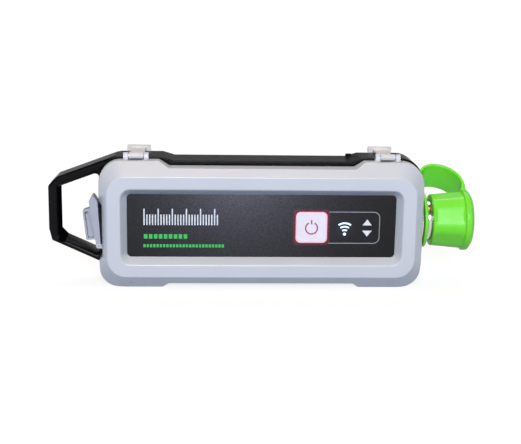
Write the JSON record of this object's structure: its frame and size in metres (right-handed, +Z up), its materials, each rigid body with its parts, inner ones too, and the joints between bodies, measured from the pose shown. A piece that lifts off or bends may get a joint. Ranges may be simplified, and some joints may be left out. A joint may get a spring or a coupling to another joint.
{
  "type": "antenna analyzer",
  "caption": "Hand-held cable and antenna analyzer: grey two-part case with a recessed dark panel and one key, black frame with carrying loop, tethered green cap on the test port",
  "frame": {"origin": "On the table plane, under the centre of the bounding box of the whole object at rest", "axes": "+X runs along the case from the carrying loop to the test port, +Y from the front panel to the back, +Z up. The instrument stands on its four feet, with the panel facing -Y."},
  "size_m": [0.3072, 0.077, 0.0964],
  "materials": {
    "cover_grey": "fine moulded texture, satin",
    "frame_black": "moulded, satin black",
    "panel_film": "printed film, low sheen",
    "key_white": "translucent, lit from behind",
    "guide_red": "clear red, lit",
    "rubber_black": "soft matte",
    "silicone_white": "soft matte",
    "led_white": "clear lens",
    "board_green": "solder resist",
    "steel": "plated",
    "can_tin": "tinned sheet",
    "tray_aluminium": "plain sheet",
    "cell_wrap": "shrink wrap",
    "brass": "turned",
    "latch_grey": "moulded, satin",
    "socket_black": "moulded",
    "door_grey": "moulded, satin",
    "port_plating": "white bronze plating",
    "bead_white": "smooth",
    "contact_silver": "silver plating",
    "coax_brown": "extruded jacket",
    "rubber_green": "bright, satin"
  },
  "bodies": {
    "case": {"front_cover": "cover_grey", "panel_overlay": "panel_film", "light_guide": "guide_red", "button_dome": "silicone_white", "status_leds": "led_white", "main_board": "board_green", "board_screws": "steel", "wifi_module": "can_tin", "rf_module": "can_tin", "battery_tray": "tray_aluminium", "tray_screws": "steel", "battery_pack": "cell_wrap", "battery_contacts": "brass", "carry_frame": "frame_black", "front_seal": "rubber_black", "rear_seal": "rubber_black", "case_inserts": "brass", "case_screws": "steel", "latch_pins": "steel", "port_gasket": "rubber_black", "data_port": "steel", "power_jack": "socket_black", "port_door_pin": "steel", "rf_connector": "port_plating", "rf_insulator": "bead_white", "rf_contact": "contact_silver", "connector_gasket": "rubber_black", "connector_nut": "steel", "rf_pigtail": "coax_brown"},
    "button": {"power_button": "key_white"},
    "rear": {"rear_cover": "cover_grey"},
    "latch_left": {"latch_left": "latch_grey"},
    "latch_right": {"latch_right": "latch_grey"},
    "door": {"port_door": "door_grey"},
    "tether": {"tether_ring": "rubber_green", "tether_strap": "rubber_green"},
    "cap": {"dust_cap": "rubber_green"}
  },
  "joints": [
    {"name": "power_button_press", "type": "slide", "parent": "case", "child": "button", "axis": [0, 1, 0], "range_m": [0, 0.0006], "stiffness_N_per_m": 800, "springref_m": -0.001},
    {"name": "latch_left_hinge", "type": "hinge", "parent": "case", "child": "latch_left", "pos_m": [-0.0903, -0.0245, 0.0942], "axis": [1, 0, 0], "range_deg": [0, 100]},
    {"name": "latch_right_hinge", "type": "hinge", "parent": "case", "child": "latch_right", "pos_m": [0.0871, -0.0245, 0.0942], "axis": [1, 0, 0], "range_deg": [0, 100]},
    {"name": "rear_cover_lift", "type": "slide", "parent": "case", "child": "rear", "axis": [0, 1, 0], "range_m": [0, 0.06]},
    {"name": "port_door_hinge", "type": "hinge", "parent": "case", "child": "door", "pos_m": [-0.1168, -0.0255, 0.0306], "axis": [0, -1, 0], "range_deg": [-3.4, 105]},
    {"name": "tether_swivel", "type": "hinge", "parent": "case", "child": "tether", "pos_m": [0.11765, -0.0045, 0.0448], "axis": [1, 0, 0], "range_deg": [-90, 195]},
    {"name": "cap_pull", "type": "slide", "parent": "tether", "child": "cap", "axis": [1, 0, 0], "range_m": [0, 0.025]}
  ]
}
